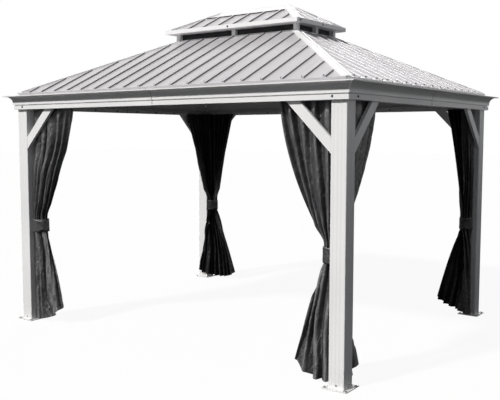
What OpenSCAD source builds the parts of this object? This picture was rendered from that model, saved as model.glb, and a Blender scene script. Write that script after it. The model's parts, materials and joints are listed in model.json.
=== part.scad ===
/* [Plan] */
// Spacing of the roof ribs, which also sets the size of the vent
rib_pitch = 170; // [160:1:180]
// Height of the posts, to the underside of the beams
post_h = 1950; // [1850:10:2100]
// Width of each square post
post_w = 120; // [110:1:130]

/* [Post] */
// Wall of the post extrusion
post_wall = 4; // [3:0.5:6]
// Radius of the post's corners
post_corner_r = 6; // [3:1:8]
// Depth of the three shallow flutes on each face
flute_depth = 1.5; // [0.5:0.1:2]
// Radius of the cutter that makes a flute
flute_r = 26; // [16:1:32]
// How far the base plate stands out past the post
plate_overhang = 35; // [30:1:45]
// Thickness of the base plate
plate_t = 6; // [5:1:10]
// Diameter of the anchor holes
anchor_d = 12; // [8:1:14]
// Distance of the anchor holes from the plate's edge
anchor_inset = 17; // [15:1:19]

/* [Braces] */
// Length of the brace's upper edge, along the post and along the beam
brace_leg = 250; // [200:5:300]
// Width of the brace's face, measured square to it
brace_face = 74; // [60:1:80]
// Thickness of the brace
brace_t = 26; // [22:1:28]
// How far the brace sits behind the post's outer face
brace_setback = 3; // [1:0.5:5]

/* [Beams] */
// How far the lower band stands out past the post
band_out = 27; // [22:1:30]
// How far the beam reaches in behind the post's outer face
beam_in = 44; // [42:1:50]
// Height of the lower band
band_h = 34; // [28:1:38]
// Height of the groove above the lower band
groove_h = 8; // [6:1:10]
// Depth of that groove
groove_d = 7; // [4:1:9]
// Height of the upper band
upper_band_h = 18; // [14:1:22]
// How far the upper band stands out past the post
upper_band_out = 33; // [31:1:36]
// Radius of the hollow cove under the lip
cove_r = 58; // [52:1:60]
// How far the lip stands out past the cove
lip_out = 8; // [6:1:12]
// Wall of the beam extrusion
beam_wall = 4; // [3:0.5:5]
// Gap at the splices and mitres
splice_gap = 2.2; // [0.6:0.1:4]

/* [Curtain tracks] */
// Width of the track
track_w = 28; // [26:1:30]
// Height of the track
track_h = 24; // [20:1:26]
// Height of the track above the underside of the beam
track_lift = 30; // [28:1:34]
// Width of the slot that the hooks run in
track_slot = 8; // [6:1:10]

/* [Roof] */
// Slope of the lower roof and of the upper roof's long sides
roof_slope = 25.4; // [23:0.1:27]
// Height of the lower eave above the underside of the beams
eave_lift = 150; // [146:1:165]
// Plan distance that the lower roof runs out from the vent, which sets the plan of the posts
lower_run = 1030; // [900:5:1200]
// Least distance from the corner of a slope to its outermost rib
rib_margin = 100; // [90:1:130]
// Thickness of the roof panels
panel_t = 8; // [6:1:10]
// Width of a standing rib
rib_w = 18; // [14:1:26]
// Height of a standing rib
rib_h = 11; // [9:1:20]
// Distance from the panel's edge to the hip line
hip_gap = 12; // [11:0.5:14]
// Width of each flange of the hip caps
cap_w = 40; // [34:1:48]
// Width of each flange of the ridge cap
ridge_w = 175; // [120:1:200]
// Thickness of the caps
cap_t = 3; // [2:0.5:4]
// Radius of the bead along the crest of the caps
bead_r = 6; // [5:0.5:7]
// Radius of the knuckles where the hips meet the ridge
knuckle_r = 8; // [7.5:0.5:9]
// Drop of the eave trim below the panel
trim_drop = 14; // [10:1:16]
// Width of the lip that holds the trim under the panel
trim_lip = 30; // [20:1:32]

/* [Cupola] */
// How far the vent ring sits inside the second rib on its short axis and the fourth on its long axis
ring_inset = 10; // [5:1:20]
// Width of the ring bars around the vent
ring_w = 44; // [42:1:50]
// Depth of the ring bars
ring_h = 78; // [70:1:90]
// Width of the short vent posts
vent_post_w = 38; // [34:1:40]
// Height of the vent between the ring and the upper roof
vent_h = 54; // [45:1:70]
// How far the upper roof overhangs the ring on the long sides
upper_over_y = 85; // [80:1:100]
// How far the upper roof overhangs the ring on the short sides
upper_over_x = 55; // [50:1:75]
// Height of the upper fascia
fascia_h = 34; // [30:1:44]
// Half length of the ridge
ridge_half = 365; // [340:1:390]
// How far the ribs of the upper roof's long sides are set off the middle
upper_shift = 57; // [0:1:85]

/* [Curtains] */
// Radius of the smallest curtain bundle at its tie
waist_r = 56; // [50:1:57]
// Height of the middle of the ties
waist_z = 890; // [800:5:1000]
// Height of a tie band
tie_h = 120; // [80:5:140]
// Clear height of the hems above the ground
hem_z = 14; // [10:1:40]

/* [Hidden] */
$fn = 48;

white_coat = "#f0f0f2";
roof_grey = "#dddbdf";
track_grey = "#cfd0d2";
frame_grey = "#c9c9cc";
curtain_black = "#2b2b30";
tie_black = "#1f1f23";

// Plan: half sizes of the vent ring, and of the rectangle through the outer faces of the posts
ring_x = 4 * rib_pitch - ring_inset;
ring_y = 2 * rib_pitch - ring_inset;
half_x = ring_x + lower_run;
half_y = ring_y + lower_run;
corners = [[-1, -1], [1, -1], [-1, 1], [1, 1]];
seat_gap = 0.3;
function half_out(i) = i % 2 == 0 ? half_y : half_x;
function half_along(i) = i % 2 == 0 ? half_x : half_y;

// Posts and base plates
plate_w = post_w + 2 * plate_overhang;
anchor_at = plate_w / 2 - anchor_inset;
flute_step = post_w / 4;

// Braces
brace_cut = brace_face * sqrt(2);

// Beam profile heights above the underside
groove_top = band_h + groove_h;
box_top = groove_top + upper_band_h;
cove_x = upper_band_out + cove_r;
lip_x = cove_x + lip_out;
beam_top = box_top + cove_r + beam_wall;
mitre_slack = 1;

// Roof heights
eave_z = post_h + eave_lift;
slope_tan = tan(roof_slope);
panel_drop = panel_t / cos(roof_slope);
lower_rise = lower_run * slope_tan;
ring_lip = 9;
ring_top = eave_z + lower_rise + ring_lip;
upper_z = ring_top + vent_h;
fascia_t = 4;
fascia_cover = 4;
fascia_clear = 1;
edge_inset = fascia_t + fascia_clear;
seat_rib = [16, 20];
upper_x = ring_x + upper_over_x;
upper_y = ring_y + upper_over_y;
upper_run_y = upper_y - edge_inset;
upper_run_x = upper_x - edge_inset - ridge_half;
upper_eave_z = upper_z + fascia_h - fascia_cover;
upper_rise = upper_run_y * slope_tan;
upper_end_slope = atan(upper_rise / upper_run_x);
rafter_w = 40;
rafter_h = 50;
bracket_leg = 180;
bracket_t = 6;
bracket_h = bracket_leg / 4;
bracket_lift = 4;
rib_play = 2;
rib_clear = cap_w + rib_play;
cap_end = 1;
bead_end = 2;

// Curtain spans from the post's inner corner, along the long side and along the short side, at the track and
// at the hem, then the place of the tied bundle with its radius as a share of the smallest, and how far the
// edges bow out above the tie
front_left_top = [560, 330];
front_left_foot = [388, 200];
front_left_waist = [80, -46, 1.25];
front_left_bow = 1.3;
front_right_top = [436, 396];
front_right_foot = [300, 170];
front_right_waist = [74, 36, 1];
front_right_bow = 1.8;
back_left_top = [352, 286];
back_left_foot = [380, 60];
back_left_waist = [104, 26, 1.14];
back_left_bow = 1;
back_right_top = [230, 330];
back_right_foot = [282, 170];
back_right_waist = [-36, 64, 1.04];
back_right_bow = 0.9;
curtain_line = beam_in + track_w / 2 - post_w;
curtain_top = post_h + track_lift - seat_gap;
hang_t = 22;
drape_t = 56;
hem_rise = 90;
post_clear = 2;
gather = 1.6;
slice_t = 1;
slices = 4;
tie_clear = 0.5;
tie_t = 3.5;

// Places children at a corner of the plan
module at_corner(c) {
  translate([c[0] * (half_x - post_w / 2), c[1] * (half_y - post_w / 2), 0])
    children();
}

// Places children with the post's inner corner as origin and both axes pointing to the middle of the plan
module at_inner_corner(c) {
  translate([c[0] * (half_x - post_w), c[1] * (half_y - post_w), 0])
    mirror([c[0] > 0 ? 1 : 0, 0, 0])
      mirror([0, c[1] > 0 ? 1 : 0, 0])
        children();
}

// Places children on a roof slope: x along the eave, y up the slope, z square to it
module on_slope(i, out, z, slope) {
  rotate([0, 0, 90 * i])
    translate([0, -out, z])
      rotate([slope, 0, 0])
        children();
}

// Extrudes an outline of (across, up) points along x
module along_x(length) {
  rotate([90, 0, 90])
    linear_extrude(length)
      children();
}

module rounded_square(w, r) {
  square([w - 2 * r, w], center = true);
  square([w, w - 2 * r], center = true);
  for (sx = [-1, 1])
    for (sy = [-1, 1])
      translate([sx * (w / 2 - r), sy * (w / 2 - r)])
        circle(r);
}

module post(c) {
  color(white_coat)
    at_corner(c)
      translate([0, 0, plate_t])
        linear_extrude(post_h - plate_t)
          difference() {
            rounded_square(post_w, post_corner_r);
            square(post_w - 2 * (post_wall + flute_depth), center = true);
            for (turn = [0:3])
              for (k = [-1:1])
                rotate(90 * turn)
                  translate([k * flute_step, post_w / 2 + flute_r - flute_depth])
                    circle(flute_r);
          }
}

module base_plate(c) {
  color(white_coat)
    at_corner(c)
      difference() {
        translate([-plate_w / 2, -plate_w / 2, 0])
          cube([plate_w, plate_w, plate_t]);
        for (sx = [-1, 1])
          for (sy = [-1, 1])
            translate([sx * anchor_at, sy * anchor_at, -1])
              cylinder(d = anchor_d, h = plate_t + 2);
      }
}

// Outline of a brace, seen square on: x from the post's side, y down from the beam
module brace_outline() {
  polygon([
    [0, -brace_leg],
    [0, -brace_leg - brace_cut],
    [brace_leg + brace_cut, 0],
    [brace_leg, 0]
  ]);
}

module braces(c) {
  color(white_coat)
    at_inner_corner(c) {
      translate([0, brace_setback + brace_t - post_w, post_h])
        rotate([90, 0, 0])
          linear_extrude(brace_t)
            brace_outline();
      translate([brace_setback - post_w, 0, post_h])
        rotate([90, 0, 90])
          linear_extrude(brace_t)
            brace_outline();
    }
}

// Outline of a beam: x inward from the post's outer face, so what stands out is negative
module beam_outline() {
  web_y = [beam_in - beam_wall, beam_in];
  difference() {
    union() {
      translate([-band_out, 0])
        square([band_out + beam_in, band_h]);
      translate([groove_d - band_out, 0])
        square([band_out + beam_in - groove_d, box_top]);
      translate([-upper_band_out, groove_top])
        square([upper_band_out + beam_in, upper_band_h]);
    }
    translate([2 * beam_wall - band_out + groove_d, beam_wall])
      square([band_out + beam_in - groove_d - 3 * beam_wall, box_top - 2 * beam_wall]);
  }
  intersection() {
    translate([-cove_x, box_top])
      difference() {
        circle(cove_r + beam_wall);
        circle(cove_r);
      }
    translate([-cove_x, box_top - 1])
      square([cove_r + beam_wall, cove_r + beam_wall + 1]);
  }
  translate([-lip_x, beam_top - 2 * beam_wall])
    square([beam_wall, 2 * beam_wall]);
  translate([-lip_x, beam_top - beam_wall])
    square([lip_out + beam_wall, beam_wall]);
  polygon([
    [web_y[0], 0],
    [web_y[1], 0],
    [web_y[1], eave_lift + web_y[1] * slope_tan - panel_drop],
    [web_y[0], eave_lift + web_y[0] * slope_tan - panel_drop]
  ]);
}

// One half of a beam, from the splice at the middle of the side to the mitre at the corner
module beam_half(i) {
  half = half_along(i);
  intersection() {
    translate([splice_gap / 2, -half_out(i), post_h])
      along_x(half + lip_x)
        beam_outline();
    translate([0, 0, post_h - 1])
      linear_extrude(eave_lift + beam_in + 2)
        polygon([
          [0, mitre_slack + beam_in - half_out(i)],
          [half - splice_gap - beam_in - mitre_slack, mitre_slack + beam_in - half_out(i)],
          [half - splice_gap + lip_x + mitre_slack, -mitre_slack - lip_x - half_out(i)],
          [0, -mitre_slack - lip_x - half_out(i)]
        ]);
  }
}

module beam(i) {
  color(white_coat)
    rotate([0, 0, 90 * i]) {
      beam_half(i);
      mirror([1, 0, 0])
        beam_half(i);
    }
}

module track(i) {
  reach = half_along(i) - beam_in - splice_gap;
  in0 = beam_in - half_out(i);
  rotate([0, 0, 90 * i])
    difference() {
      translate([0, 0, post_h + track_lift])
        linear_extrude(track_h)
          polygon([
            [-reach, in0],
            [reach, in0],
            [reach - track_w, in0 + track_w],
            [track_w - reach, in0 + track_w]
          ]);
      translate([-reach - 1, in0 + (track_w - track_slot) / 2, post_h + track_lift - 1])
        cube([2 * reach + 2, track_slot, track_h / 3 + 1]);
      translate([-reach - 1, in0 + track_w / 5, post_h + track_lift + track_h / 3 - 1])
        cube([2 * reach + 2, track_w * 3 / 5, track_h / 3]);
    }
}

module curtain_tracks() {
  color(track_grey)
    for (i = [0:3])
      track(i);
}

module corner_brackets() {
  z0 = post_h + track_lift + track_h + bracket_lift;
  inset = beam_in - post_w;
  color(frame_grey)
    for (c = corners)
      at_inner_corner(c)
        translate([inset, inset, z0])
          difference() {
            cube([bracket_leg, bracket_leg, bracket_h]);
            translate([bracket_t, bracket_t, -1])
              cube([bracket_leg, bracket_leg, bracket_h + 2]);
          }
}

// Panel with its standing ribs: half widths at the eave and at the top, length up the slope, the gaps that
// panel and ribs keep to the top, and how far the ribs are set off the middle
module panel(eave_half, top_half, length, top_gap, rib_gap, shift = 0) {
  first = ceil((rib_margin - eave_half - shift) / rib_pitch);
  last = floor((eave_half - rib_margin - shift) / rib_pitch);
  taper = (eave_half - top_half) / length;
  skew = sqrt(1 + taper * taper);
  edge = hip_gap * skew;
  reach = length - top_gap;
  stop = eave_half - edge - taper * reach;
  tip = (eave_half - edge) / taper;
  translate([0, 0, -panel_t])
    linear_extrude(panel_t)
      polygon(concat(
        [[edge - eave_half, 0], [eave_half - edge, 0]],
        stop > 0 ? [[stop, reach], [-stop, reach]] : [[0, tip]]
      ));
  for (k = [first:last]) {
    middle = k * rib_pitch + shift;
    side = abs(middle) + rib_w / 2;
    hip_stop = (eave_half - rib_clear * skew - side) / taper;
    translate([middle - rib_w / 2, 0, -panel_t / 2])
      cube([rib_w, min(length - rib_gap, hip_stop), rib_h + panel_t / 2]);
  }
}

ring_gap = panel_t * slope_tan + seat_gap;
rib_ring_gap = 1;
lower_length = lower_run / cos(roof_slope);
upper_length_y = upper_run_y / cos(roof_slope);
upper_length_x = upper_run_x / cos(upper_end_slope);

module lower_roof(i) {
  color(roof_grey)
    on_slope(i, half_out(i), eave_z, roof_slope)
      panel(half_along(i), half_along(i) - lower_run, lower_length, ring_gap, rib_ring_gap);
}

// Trim that closes the panel's lower edge, seated under it
module eave_trim(eave_half) {
  face = eave_half - hip_gap;
  lip = eave_half - 3 * hip_gap;
  translate([-face, -cap_t, -panel_t - trim_drop])
    cube([2 * face, cap_t, panel_t + trim_drop]);
  translate([-lip, -cap_t, -panel_t - cap_t])
    cube([2 * lip, trim_lip, cap_t]);
}

module lower_eave_trims() {
  color(white_coat)
    for (i = [0:3])
      on_slope(i, half_out(i), eave_z, roof_slope)
        eave_trim(half_along(i));
}

// Flange of a hip cap, lying on one slope beside its right hand hip, up to a height on the slope
module hip_flange(eave_half, top_half, length, upto) {
  taper = (eave_half - top_half) / length;
  side = cap_w * sqrt(1 + taper * taper);
  foot = eave_half - side;
  peak = eave_half - taper * upto;
  meet = min(upto, (foot - cap_end) / taper);
  linear_extrude(cap_t)
    polygon(concat(
      [[foot, 0], [eave_half, 0], [peak, upto]],
      meet < upto ? [[cap_end, upto], [cap_end, meet]] : [[peak - side, upto]]
    ));
}

// Round bead from one point to another
module bead(from, to) {
  d = to - from;
  translate(from)
    rotate([0, 0, atan2(d[1], d[0])])
      rotate([0, 90 - atan2(d[2], norm([d[0], d[1]])), 0])
        cylinder(r = bead_r, h = norm(d));
}

module lower_hip_cap(c) {
  color(white_coat)
    mirror([c[0] < 0 ? 1 : 0, 0, 0])
      mirror([0, c[1] > 0 ? 1 : 0, 0]) {
        on_slope(0, half_y, eave_z, roof_slope)
          hip_flange(half_x, ring_x, lower_length, lower_length - cap_end);
        on_slope(1, half_x, eave_z, roof_slope)
          mirror([1, 0, 0])
            hip_flange(half_y, ring_y, lower_length, lower_length - cap_end);
        bead(
          [half_x, -half_y, eave_z],
          [ring_x + bead_end, -ring_y - bead_end, eave_z + lower_rise - bead_end * slope_tan]
        );
      }
}

// Bar under the joint of two slopes, with a top that fits both panels
module hip_rafters() {
  pitch = atan(slope_tan / sqrt(2));
  fall = slope_tan * sin(45) * cos(pitch);
  top = -panel_drop * cos(pitch);
  color(frame_grey)
    for (c = corners)
      mirror([c[0] < 0 ? 1 : 0, 0, 0])
        mirror([0, c[1] > 0 ? 1 : 0, 0])
          intersection() {
            translate([half_x, -half_y, eave_z])
              rotate([0, 0, 135])
                rotate([0, -pitch, 0])
                  along_x(2 * lower_run)
                    polygon([
                      [0, top],
                      [rafter_w / 2, top - fall * rafter_w / 2],
                      [rafter_w / 2, top - rafter_h],
                      [-rafter_w / 2, top - rafter_h],
                      [-rafter_w / 2, top - fall * rafter_w / 2]
                    ]);
            translate([ring_x, beam_in - half_y, post_h])
              cube([half_x - beam_in - ring_x, half_y - beam_in - ring_y, 2 * lower_run]);
          }
}

module mid_rafters() {
  color(frame_grey)
    for (i = [0:3])
      intersection() {
        on_slope(i, half_out(i), eave_z, roof_slope)
          translate([-rafter_w / 2, 0, -panel_t - rafter_h])
            cube([rafter_w, lower_length, rafter_h]);
        rotate([0, 0, 90 * i])
          translate([-rafter_w, beam_in - half_out(i), post_h])
            cube([2 * rafter_w, lower_run - beam_in, 2 * lower_run]);
      }
}

// Welded ring around the vent
module cupola_ring() {
  color(white_coat)
    translate([0, 0, ring_top - ring_h])
      difference() {
        translate([-ring_x, -ring_y, 0])
          cube([2 * ring_x, 2 * ring_y, ring_h]);
        translate([ring_w - ring_x, ring_w - ring_y, -1])
          cube([2 * (ring_x - ring_w), 2 * (ring_y - ring_w), ring_h + 2]);
      }
}

module vent_posts() {
  sx = ring_x - ring_w / 2;
  sy = ring_y - ring_w / 2;
  color(white_coat)
    for (p = [[-sx, -sy], [0, -sy], [sx, -sy], [-sx, 0], [sx, 0], [-sx, sy], [0, sy], [sx, sy]])
      translate([p[0] - vent_post_w / 2, p[1] - vent_post_w / 2, ring_top])
        cube([vent_post_w, vent_post_w, vent_h]);
}

// Mitred channel along one edge of the upper roof, with the flange that sits on the vent posts
module upper_channel(along, out, overhang, seat_slope) {
  depth = overhang + ring_w;
  seat = upper_eave_z - upper_z - panel_t / cos(seat_slope);
  intersection() {
    translate([-along, -out, upper_z])
      along_x(2 * along)
        union() {
          square([fascia_t, fascia_h]);
          square([depth, fascia_t]);
          polygon([
            [edge_inset + seat_rib[0], 0],
            [edge_inset + seat_rib[1], 0],
            [edge_inset + seat_rib[1], seat + seat_rib[1] * tan(seat_slope)],
            [edge_inset + seat_rib[0], seat + seat_rib[0] * tan(seat_slope)]
          ]);
        }
    children();
  }
}

module upper_eave_frame() {
  inner_x = ring_x - ring_w;
  inner_y = ring_y - ring_w;
  gap = splice_gap;
  color(white_coat)
    for (i = [0:3])
      rotate([0, 0, 90 * i]) {
        along = i % 2 == 0 ? upper_x : upper_y;
        out = i % 2 == 0 ? upper_y : upper_x;
        in_along = i % 2 == 0 ? inner_x : inner_y;
        in_out = i % 2 == 0 ? inner_y : inner_x;
        upper_channel(along, out, out - in_out - ring_w, i % 2 == 0 ? roof_slope : upper_end_slope)
          translate([0, 0, upper_z - 1])
            linear_extrude(fascia_h + 2)
              polygon([
                [gap - along, -out],
                [along - gap, -out],
                [in_along - gap, -in_out],
                [gap - in_along, -in_out]
              ]);
      }
}

module upper_roof(i) {
  long = i % 2 == 0;
  eave_half = (long ? upper_x : upper_y) - edge_inset;
  color(roof_grey)
    on_slope(i, (long ? upper_y : upper_x) - edge_inset, upper_eave_z, long ? roof_slope : upper_end_slope)
      panel(
        eave_half,
        long ? ridge_half : 0,
        long ? upper_length_y : upper_length_x,
        hip_gap,
        long ? ridge_w + rib_play : rib_clear,
        long ? upper_shift : 0
      );
}

ridge_z = upper_eave_z + upper_rise;
hip_stop = 1 - rib_clear / upper_length_y;

// Point on the hip at the front right of the upper roof, as a share of the way from eave to ridge
function hip_point(share) = [
  ridge_half + (1 - share) * upper_run_x,
  -(1 - share) * upper_run_y,
  upper_eave_z + share * upper_rise
];

module upper_hip_caps() {
  color(white_coat)
    for (c = corners)
      mirror([c[0] < 0 ? 1 : 0, 0, 0])
        mirror([0, c[1] > 0 ? 1 : 0, 0]) {
          on_slope(0, upper_run_y, upper_eave_z, roof_slope)
            hip_flange(ridge_half + upper_run_x, ridge_half, upper_length_y, hip_stop * upper_length_y);
          on_slope(1, ridge_half + upper_run_x, upper_eave_z, upper_end_slope)
            mirror([1, 0, 0])
              hip_flange(upper_run_y, 0, upper_length_x, hip_stop * upper_length_x);
          bead(hip_point(0), hip_point(hip_stop));
        }
}

// Ridge cap with wide flanges between the hip caps and two folded ends
module ridge_cap() {
  keep = hip_stop + cap_end / upper_length_y;
  low = 1 - ridge_w / upper_length_y;
  inset = rib_clear * norm([1, upper_run_x / upper_length_y]);
  color(white_coat) {
    for (i = [0, 2])
      on_slope(i, upper_run_y, upper_eave_z, roof_slope)
        linear_extrude(cap_t)
          polygon([
            [inset - hip_point(low)[0], low * upper_length_y],
            [hip_point(low)[0] - inset, low * upper_length_y],
            [hip_point(keep)[0] - inset, keep * upper_length_y],
            [hip_point(keep)[0], keep * upper_length_y],
            [ridge_half, upper_length_y],
            [-ridge_half, upper_length_y],
            [-hip_point(keep)[0], keep * upper_length_y],
            [inset - hip_point(keep)[0], keep * upper_length_y]
          ]);
    for (i = [1, 3])
      on_slope(i, ridge_half + upper_run_x, upper_eave_z, upper_end_slope)
        linear_extrude(cap_t)
          polygon([
            [hip_point(keep)[1], keep * upper_length_x],
            [-hip_point(keep)[1], keep * upper_length_x],
            [0, upper_length_x]
          ]);
    bead([-ridge_half, 0, ridge_z], [ridge_half, 0, ridge_z]);
    for (sx = [-1, 1])
      translate([sx * ridge_half, 0, ridge_z])
        sphere(r = knuckle_r);
    for (c = corners)
      mirror([c[0] < 0 ? 1 : 0, 0, 0])
        mirror([0, c[1] > 0 ? 1 : 0, 0])
          bead(hip_point(keep), hip_point(1));
  }
}

function mix(from, to, share) = from + (to - from) * share;

// Slab of curtain between two distances along x
module slab(near, reach, line, thick, z) {
  translate([near, line - thick / 2, z])
    cube([reach - near, thick, slice_t]);
}

module waist_disc(waist, z) {
  translate([waist[0], waist[1], z])
    cylinder(r = waist[2] * waist_r, h = slice_t, $fn = 32);
}

// Slice of the stretch above the tie: share 0 under the beam, 1 at the tie
module upper_slice(top, waist, bow, share) {
  pull = pow(share, bow);
  r = waist[2] * waist_r;
  slab(
    mix(post_clear, waist[0] - r, pull),
    mix(top, waist[0] + r, pull),
    mix(curtain_line, waist[1], pull),
    mix(hang_t, gather * r, share),
    mix(post_h - track_lift, waist_z + tie_h / 2, share)
  );
}

// One leg of a curtain: from the track down to the tie, and from the tie out to the hem
module curtain_leg(top, foot, waist, bow) {
  hull() {
    slab(post_clear, top, curtain_line, hang_t, curtain_top - slice_t);
    upper_slice(top, waist, bow, 0);
  }
  for (k = [0:slices - 2])
    hull() {
      upper_slice(top, waist, bow, k / slices);
      upper_slice(top, waist, bow, (k + 1) / slices);
    }
  hull() {
    upper_slice(top, waist, bow, 1 - 1 / slices);
    waist_disc(waist, waist_z + tie_h / 2);
  }
  hull() {
    waist_disc(waist, waist_z + tie_h / 2);
    waist_disc(waist, waist_z - tie_h / 2);
  }
  hull() {
    waist_disc(waist, waist_z - tie_h / 2);
    slab(post_clear, foot / 2, curtain_line, drape_t, hem_z);
    slab(foot / 2, foot, curtain_line, drape_t, hem_z + hem_rise);
  }
}

// Curtain that wraps the inner corner of a post, gathered by its tie
module curtain(c, top, foot, waist, bow) {
  color(curtain_black)
    at_inner_corner(c)
      difference() {
        union() {
          curtain_leg(top[0], foot[0], waist, bow);
          mirror([1, -1, 0])
            curtain_leg(top[1], foot[1], [waist[1], waist[0], waist[2]], bow);
        }
        translate([-2 * post_w, -2 * post_w, -1])
          cube([2 * post_w + post_clear, 2 * post_w + post_clear, post_h + post_w]);
      }
}

module front_left_curtain() {
  curtain(corners[0], front_left_top, front_left_foot, front_left_waist, front_left_bow);
}

module front_right_curtain() {
  curtain(corners[1], front_right_top, front_right_foot, front_right_waist, front_right_bow);
}

module back_left_curtain() {
  curtain(corners[2], back_left_top, back_left_foot, back_left_waist, back_left_bow);
}

module back_right_curtain() {
  curtain(corners[3], back_right_top, back_right_foot, back_right_waist, back_right_bow);
}

module curtain_tie(c, waist) {
  r = waist[2] * waist_r + tie_clear;
  color(tie_black)
    at_inner_corner(c)
      translate([waist[0], waist[1], waist_z - tie_h / 2])
        difference() {
          cylinder(r = r + tie_t, h = tie_h);
          translate([0, 0, -1])
            cylinder(r = r, h = tie_h + 2);
        }
}

module curtain_ties() {
  curtain_tie(corners[0], front_left_waist);
  curtain_tie(corners[1], front_right_waist);
  curtain_tie(corners[2], back_left_waist);
  curtain_tie(corners[3], back_right_waist);
}

post(corners[0]);  // post_front_left
post(corners[1]);  // post_front_right
post(corners[2]);  // post_back_left
post(corners[3]);  // post_back_right
base_plate(corners[0]);  // base_plate_front_left
base_plate(corners[1]);  // base_plate_front_right
base_plate(corners[2]);  // base_plate_back_left
base_plate(corners[3]);  // base_plate_back_right
beam(0);  // front_beam
beam(1);  // right_beam
beam(2);  // back_beam
beam(3);  // left_beam
braces(corners[0]);  // braces_front_left
braces(corners[1]);  // braces_front_right
braces(corners[2]);  // braces_back_left
braces(corners[3]);  // braces_back_right
curtain_tracks();
corner_brackets();
lower_roof(0);  // lower_roof_front
lower_roof(1);  // lower_roof_right
lower_roof(2);  // lower_roof_back
lower_roof(3);  // lower_roof_left
lower_eave_trims();
lower_hip_cap(corners[0]);  // lower_hip_cap_front_left
lower_hip_cap(corners[1]);  // lower_hip_cap_front_right
lower_hip_cap(corners[2]);  // lower_hip_cap_back_left
lower_hip_cap(corners[3]);  // lower_hip_cap_back_right
hip_rafters();
mid_rafters();
cupola_ring();
vent_posts();
upper_eave_frame();
upper_roof(0);  // upper_roof_front
upper_roof(1);  // upper_roof_right
upper_roof(2);  // upper_roof_back
upper_roof(3);  // upper_roof_left
upper_hip_caps();
ridge_cap();
front_left_curtain();  // curtain_front_left
front_right_curtain();  // curtain_front_right
back_left_curtain();  // curtain_back_left
back_right_curtain();  // curtain_back_right
curtain_ties();
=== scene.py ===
import json
import math

import bpy
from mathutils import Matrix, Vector, noise


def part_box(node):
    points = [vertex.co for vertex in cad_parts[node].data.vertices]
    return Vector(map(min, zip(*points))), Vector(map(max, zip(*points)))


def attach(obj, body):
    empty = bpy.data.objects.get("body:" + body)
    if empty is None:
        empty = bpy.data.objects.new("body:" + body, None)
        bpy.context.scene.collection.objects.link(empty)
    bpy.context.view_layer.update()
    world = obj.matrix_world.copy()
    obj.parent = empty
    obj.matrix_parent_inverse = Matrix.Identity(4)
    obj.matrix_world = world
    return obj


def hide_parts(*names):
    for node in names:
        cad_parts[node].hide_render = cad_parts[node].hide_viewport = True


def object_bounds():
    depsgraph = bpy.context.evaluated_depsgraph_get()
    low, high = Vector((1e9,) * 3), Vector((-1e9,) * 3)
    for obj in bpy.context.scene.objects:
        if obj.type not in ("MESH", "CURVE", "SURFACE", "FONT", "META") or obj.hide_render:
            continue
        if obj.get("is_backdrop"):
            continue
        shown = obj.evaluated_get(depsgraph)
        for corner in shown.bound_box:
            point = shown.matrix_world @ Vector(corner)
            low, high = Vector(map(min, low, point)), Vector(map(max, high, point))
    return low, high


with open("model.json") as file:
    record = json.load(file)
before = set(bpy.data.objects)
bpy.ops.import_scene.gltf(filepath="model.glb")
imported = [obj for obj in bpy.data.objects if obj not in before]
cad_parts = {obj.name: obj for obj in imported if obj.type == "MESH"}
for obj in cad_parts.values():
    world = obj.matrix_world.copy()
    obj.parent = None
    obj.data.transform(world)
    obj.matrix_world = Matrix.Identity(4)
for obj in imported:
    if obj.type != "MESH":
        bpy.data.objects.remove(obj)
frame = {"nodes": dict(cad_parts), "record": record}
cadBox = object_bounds()
nodes = frame["nodes"]
scene = bpy.context.scene
print("frame loaded:", len(nodes), "nodes")

cornerSigns = {"front_left": (-1, -1), "front_right": (1, -1), "back_left": (-1, 1), "back_right": (1, 1)}
sideTurns = range(4)  # quarter turns of the plan: front, right, back, left
roofSet = {"slope": math.radians(25.4), "eaveZ": 2.100, "ribPitch": 0.170}


class Wire:  # a shader socket that can be added, subtracted and multiplied
    def __init__(self, tree, socket=None):
        self.tree = tree
        self.socket = socket

    def maths(self, operation, first, second):
        return self.node("ShaderNodeMath", {"operation": operation}, {0: first, 1: second})

    def __add__(self, other):
        return self.maths("ADD", self, other)

    def __radd__(self, other):
        return self.maths("ADD", other, self)

    def __sub__(self, other):
        return self.maths("SUBTRACT", self, other)

    def __rsub__(self, other):
        return self.maths("SUBTRACT", other, self)

    def __mul__(self, other):
        return self.maths("MULTIPLY", self, other)

    def __rmul__(self, other):
        return self.maths("MULTIPLY", other, self)

    def node(self, kind, settings=None, sockets=None, out=0):
        made = self.tree.nodes.new(kind)
        for name, value in (settings or {}).items():
            setattr(made, name, value)
        feed(made, sockets or {})
        return Wire(self.tree, made.outputs[out] if made.outputs else None)


def feed(node, sockets):
    for name, value in sockets.items():
        if isinstance(value, Wire):
            value.tree.links.new(value.socket, node.inputs[name])
        else:
            node.inputs[name].default_value = value


def mixColours(share, first, second):
    sockets = {0: share, 6: first, 7: second}  # factor and the two colours of a mix node
    for side in (6, 7):
        if isinstance(sockets[side], tuple):
            sockets[side] = (*sockets[side], 1)
    return share.node("ShaderNodeMix", {"data_type": "RGBA"}, sockets, 2)


def newMaterial(name):
    material = bpy.data.materials.new(name)
    material.use_nodes = True
    tree = material.node_tree
    tree.nodes.clear()
    wire = Wire(tree)
    surface = wire.node("ShaderNodeBsdfPrincipled")
    wire.node("ShaderNodeOutputMaterial", None, {"Surface": surface})
    return material, wire, surface.socket.node


def stretch(spot, scale):
    return spot.node("ShaderNodeMapping", None, {"Vector": spot, "Scale": scale})


def place(wire, scale=(1, 1, 1)):
    return stretch(wire.node("ShaderNodeTexCoord", None, None, "Object"), scale)


def axisOf(spot, axis):
    return spot.node("ShaderNodeSeparateXYZ", None, {0: spot}, axis)


def grain(spot, scale, detail, rough=0.5):
    return spot.node("ShaderNodeTexNoise", None,
                     {"Vector": spot, "Scale": scale, "Detail": detail, "Roughness": rough})


def spread(value, low, high):
    return value.node("ShaderNodeMapRange", None, {"Value": value, "From Min": low, "From Max": high})


def mottle(spot, scale, detail, low, high, rough=0.5):
    return spread(grain(spot, scale, detail, rough), low, high)


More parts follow.
